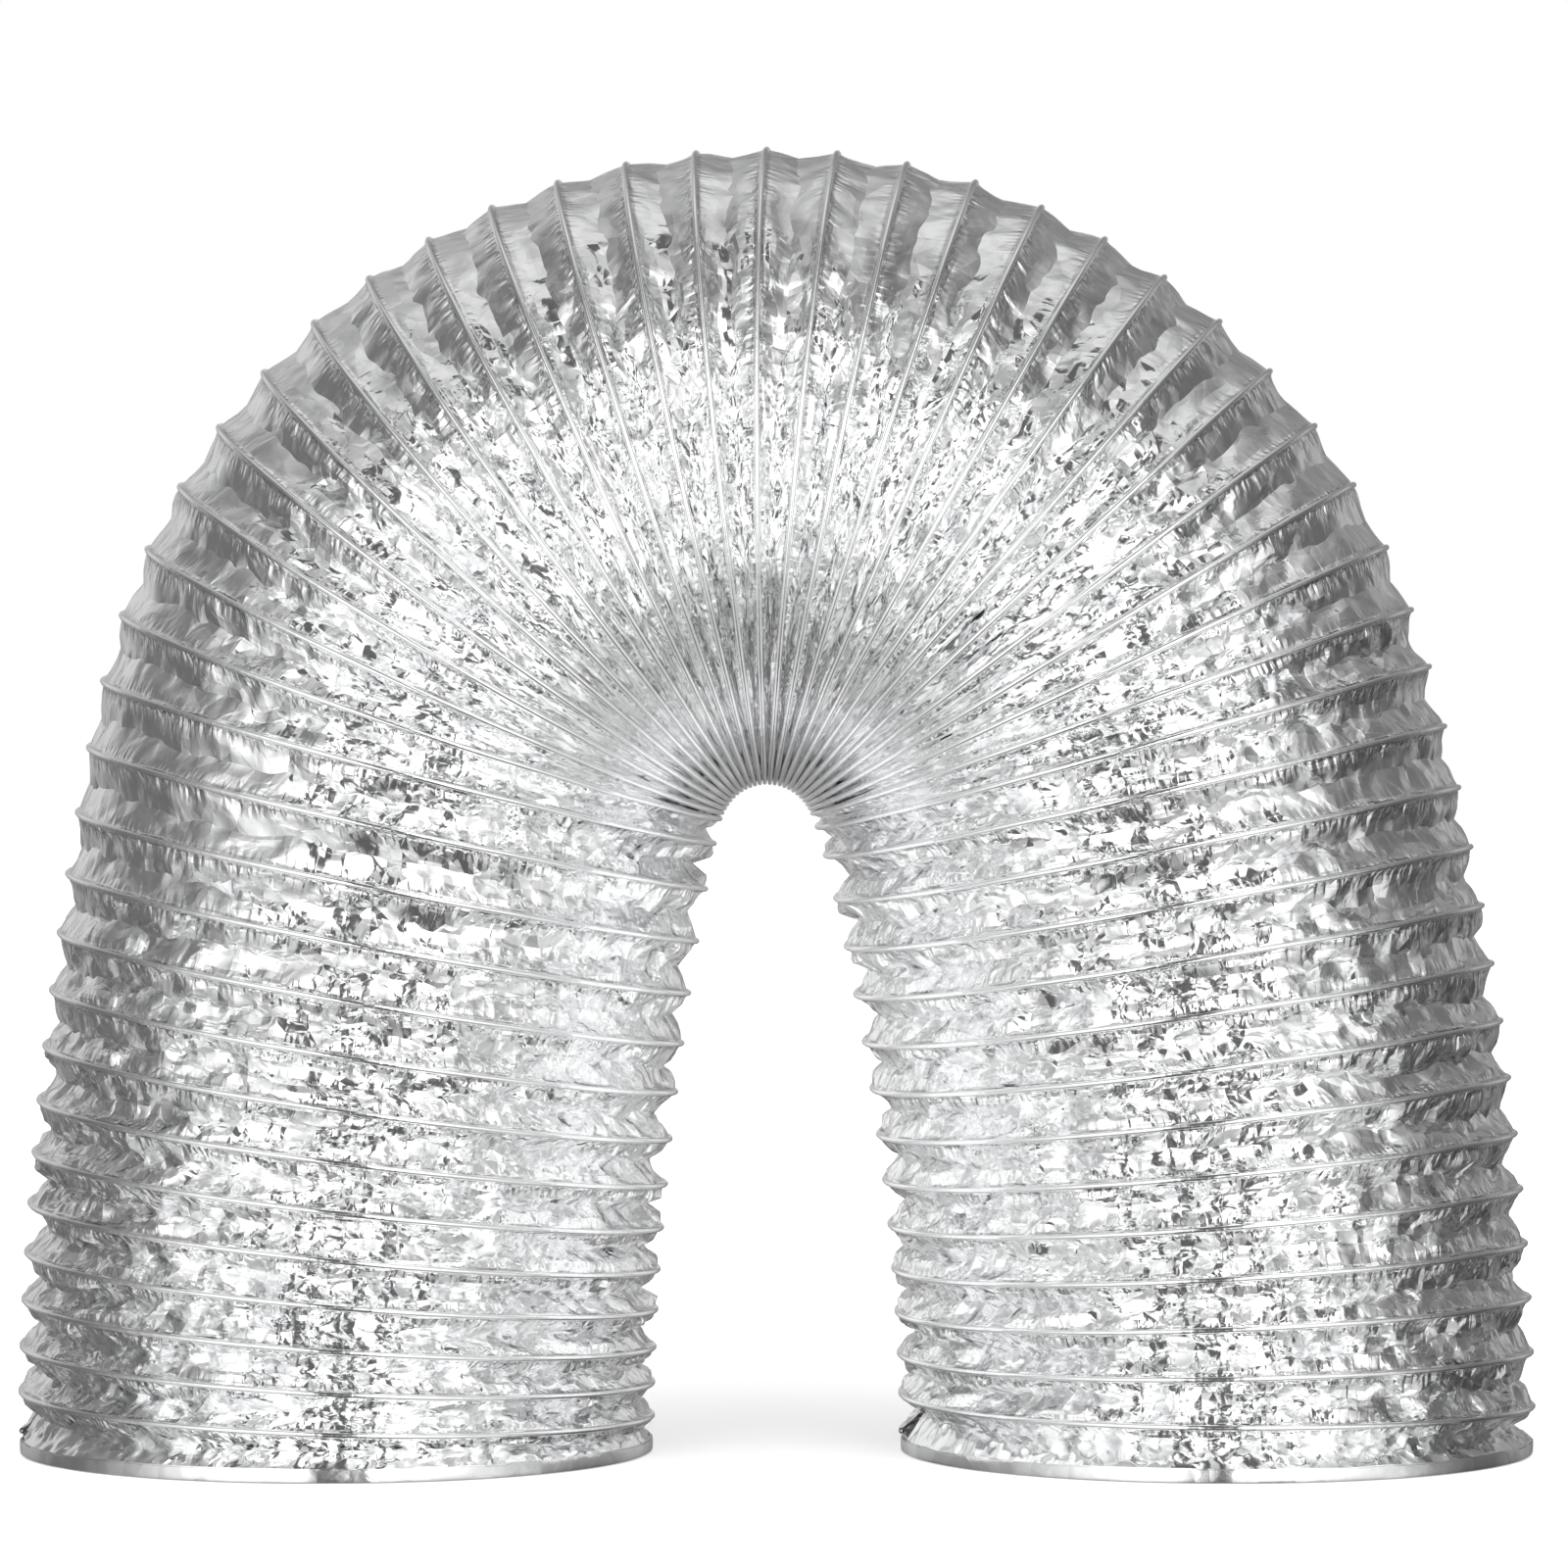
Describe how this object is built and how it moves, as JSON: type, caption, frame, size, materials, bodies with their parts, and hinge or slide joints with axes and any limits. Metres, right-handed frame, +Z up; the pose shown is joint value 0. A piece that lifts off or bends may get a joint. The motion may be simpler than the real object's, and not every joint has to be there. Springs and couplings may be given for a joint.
{
  "type": "flexible air duct",
  "caption": "Uninsulated flexible air duct: pleated aluminium foil tube over a spring-steel wire helix, bent into an upside-down U with two open round ends.",
  "frame": {"origin": "on the floor, midway between the two feet, at the bottom centre of the whole part", "axes": "+X from the left foot to the right foot, +Y to the back, +Z up"},
  "size_m": [0.3726, 0.1564, 0.3198],
  "materials": {
    "foil": "bright crumpled aluminium foil laminate",
    "foil_hem": "folded foil edge, slightly duller",
    "wire": "drawn spring steel"
  },
  "bodies": {
    "section_01": {"left_end_hem": "foil_hem", "foil_section_01": "foil", "wire_section_01": "wire"},
    "section_02": {"foil_section_02": "foil", "wire_section_02": "wire"},
    "section_03": {"foil_section_03": "foil", "wire_section_03": "wire"},
    "section_04": {"foil_section_04": "foil", "wire_section_04": "wire"},
    "section_05": {"foil_section_05": "foil", "wire_section_05": "wire"},
    "section_06": {"foil_section_06": "foil", "wire_section_06": "wire"},
    "section_07": {"foil_section_07": "foil", "wire_section_07": "wire"},
    "section_08": {"foil_section_08": "foil", "wire_section_08": "wire"},
    "section_09": {"foil_section_09": "foil", "wire_section_09": "wire"},
    "section_10": {"foil_section_10": "foil", "wire_section_10": "wire"},
    "section_11": {"foil_section_11": "foil", "wire_section_11": "wire"},
    "section_12": {"foil_section_12": "foil", "wire_section_12": "wire"},
    "section_13": {"foil_section_13": "foil", "wire_section_13": "wire"},
    "section_14": {"foil_section_14": "foil", "wire_section_14": "wire"},
    "section_15": {"foil_section_15": "foil", "wire_section_15": "wire"},
    "section_16": {"foil_section_16": "foil", "wire_section_16": "wire"},
    "section_17": {"foil_section_17": "foil", "wire_section_17": "wire"},
    "section_18": {"foil_section_18": "foil", "wire_section_18": "wire"},
    "section_19": {"foil_section_19": "foil", "wire_section_19": "wire"},
    "section_20": {"foil_section_20": "foil", "wire_section_20": "wire"},
    "section_21": {"foil_section_21": "foil", "wire_section_21": "wire"},
    "section_22": {"foil_section_22": "foil", "wire_section_22": "wire"},
    "section_23": {"foil_section_23": "foil", "wire_section_23": "wire"},
    "section_24": {"foil_section_24": "foil", "wire_section_24": "wire"},
    "section_25": {"foil_section_25": "foil", "wire_section_25": "wire"},
    "section_26": {"foil_section_26": "foil", "wire_section_26": "wire"},
    "section_27": {"foil_section_27": "foil", "wire_section_27": "wire", "right_end_hem": "foil_hem"}
  },
  "joints": [
    {"name": "stretch_01", "type": "slide", "parent": "section_01", "child": "section_02", "axis": [0.0403, 0, 0.9992], "range_m": [-0.0065, 0.016], "deforming": ["foil_section_01", "foil_section_02"]},
    {"name": "bend_02", "type": "hinge", "parent": "section_02", "child": "section_03", "pos_m": [-0.10655, 0, 0.04718], "axis": [0, -1, 0], "range_deg": [-4, 7], "deforming": ["foil_section_02", "foil_section_03"]},
    {"name": "sway_03", "type": "hinge", "parent": "section_03", "child": "section_04", "pos_m": [-0.10497, 0, 0.06695], "axis": [-0.9959, 0, 0.09], "range_deg": [-6.5, 6.5], "deforming": ["foil_section_03", "foil_section_04"]},
    {"name": "stretch_04", "type": "slide", "parent": "section_04", "child": "section_05", "axis": [0.1181, 0, 0.993], "range_m": [-0.008, 0.016], "deforming": ["foil_section_04", "foil_section_05"]},
    {"name": "bend_05", "type": "hinge", "parent": "section_05", "child": "section_06", "pos_m": [-0.09869, 0, 0.12024], "axis": [0, -1, 0], "range_deg": [-5, 9], "deforming": ["foil_section_05", "foil_section_06"]},
    {"name": "sway_06", "type": "hinge", "parent": "section_06", "child": "section_07", "pos_m": [-0.09494, 0, 0.1443], "axis": [-0.9862, 0, 0.1654], "range_deg": [-7, 7], "deforming": ["foil_section_06", "foil_section_07"]},
    {"name": "bend_07", "type": "hinge", "parent": "section_07", "child": "section_08", "pos_m": [-0.08906, 0, 0.17373], "axis": [0, -1, 0], "range_deg": [-2.5, 10.5], "deforming": ["foil_section_07", "foil_section_08"]},
    {"name": "bend_08", "type": "hinge", "parent": "section_08", "child": "section_09", "pos_m": [-0.08258, 0, 0.19146], "axis": [0, -1, 0], "range_deg": [0, 11], "deforming": ["foil_section_08", "foil_section_09"]},
    {"name": "bend_09", "type": "hinge", "parent": "section_09", "child": "section_10", "pos_m": [-0.07277, 0, 0.20718], "axis": [0, -1, 0], "range_deg": [0, 11], "deforming": ["foil_section_09", "foil_section_10"]},
    {"name": "stretch_10", "type": "slide", "parent": "section_10", "child": "section_11", "axis": [0.7642, 0, 0.645], "range_m": [0, 0.012], "deforming": ["foil_section_10", "foil_section_11"]},
    {"name": "bend_11", "type": "hinge", "parent": "section_11", "child": "section_12", "pos_m": [-0.0446, 0, 0.23095], "axis": [0, -1, 0], "range_deg": [0, 11], "deforming": ["foil_section_11", "foil_section_12"]},
    {"name": "bend_12", "type": "hinge", "parent": "section_12", "child": "section_13", "pos_m": [-0.02746, 0, 0.23798], "axis": [0, -1, 0], "range_deg": [0, 11], "deforming": ["foil_section_12", "foil_section_13"]},
    {"name": "stretch_13", "type": "slide", "parent": "section_13", "child": "section_14", "axis": [0.997, 0, 0.0778], "range_m": [0, 0.012], "deforming": ["foil_section_13", "foil_section_14"]},
    {"name": "bend_14", "type": "hinge", "parent": "section_14", "child": "section_15", "pos_m": [0.00928, 0, 0.24085], "axis": [0, -1, 0], "range_deg": [0, 11], "deforming": ["foil_section_14", "foil_section_15"]},
    {"name": "bend_15", "type": "hinge", "parent": "section_15", "child": "section_16", "pos_m": [0.0273, 0, 0.23656], "axis": [0, -1, 0], "range_deg": [0, 11], "deforming": ["foil_section_15", "foil_section_16"]},
    {"name": "stretch_16", "type": "slide", "parent": "section_16", "child": "section_17", "axis": [0.855, 0, -0.5186], "range_m": [0, 0.012], "deforming": ["foil_section_16", "foil_section_17"]},
    {"name": "bend_17", "type": "hinge", "parent": "section_17", "child": "section_18", "pos_m": [0.05881, 0, 0.21745], "axis": [0, -1, 0], "range_deg": [0, 11], "deforming": ["foil_section_17", "foil_section_18"]},
    {"name": "bend_18", "type": "hinge", "parent": "section_18", "child": "section_19", "pos_m": [0.07094, 0, 0.20345], "axis": [0, -1, 0], "range_deg": [0, 11], "deforming": ["foil_section_18", "foil_section_19"]},
    {"name": "bend_19", "type": "hinge", "parent": "section_19", "child": "section_20", "pos_m": [0.07993, 0, 0.18724], "axis": [0, -1, 0], "range_deg": [0, 10.5], "deforming": ["foil_section_19", "foil_section_20"]},
    {"name": "bend_20", "type": "hinge", "parent": "section_20", "child": "section_21", "pos_m": [0.08613, 0, 0.1686], "axis": [0, -1, 0], "range_deg": [-3, 9.5], "deforming": ["foil_section_20", "foil_section_21"]},
    {"name": "sway_21", "type": "hinge", "parent": "section_21", "child": "section_22", "pos_m": [0.0915, 0, 0.14627], "axis": [0.9769, 0, 0.2137], "range_deg": [-7, 7], "deforming": ["foil_section_21", "foil_section_22"]},
    {"name": "bend_22", "type": "hinge", "parent": "section_22", "child": "section_23", "pos_m": [0.09734, 0, 0.11682], "axis": [0, -1, 0], "range_deg": [-5, 9], "deforming": ["foil_section_22", "foil_section_23"]},
    {"name": "stretch_23", "type": "slide", "parent": "section_23", "child": "section_24", "axis": [0.141, 0, -0.99], "range_m": [-0.008, 0.016], "deforming": ["foil_section_23", "foil_section_24"]},
    {"name": "sway_24", "type": "hinge", "parent": "section_24", "child": "section_25", "pos_m": [0.1042, 0, 0.06949], "axis": [0.9938, 0, 0.1109], "range_deg": [-7, 7], "deforming": ["foil_section_24", "foil_section_25"]},
    {"name": "bend_25", "type": "hinge", "parent": "section_25", "child": "section_26", "pos_m": [0.10671, 0, 0.04224], "axis": [0, -1, 0], "range_deg": [-4, 8], "deforming": ["foil_section_25", "foil_section_26"]},
    {"name": "stretch_26", "type": "slide", "parent": "section_26", "child": "section_27", "axis": [0.031, 0, -0.9995], "range_m": [-0.0075, 0.016], "deforming": ["foil_section_26", "foil_section_27"]}
  ]
}
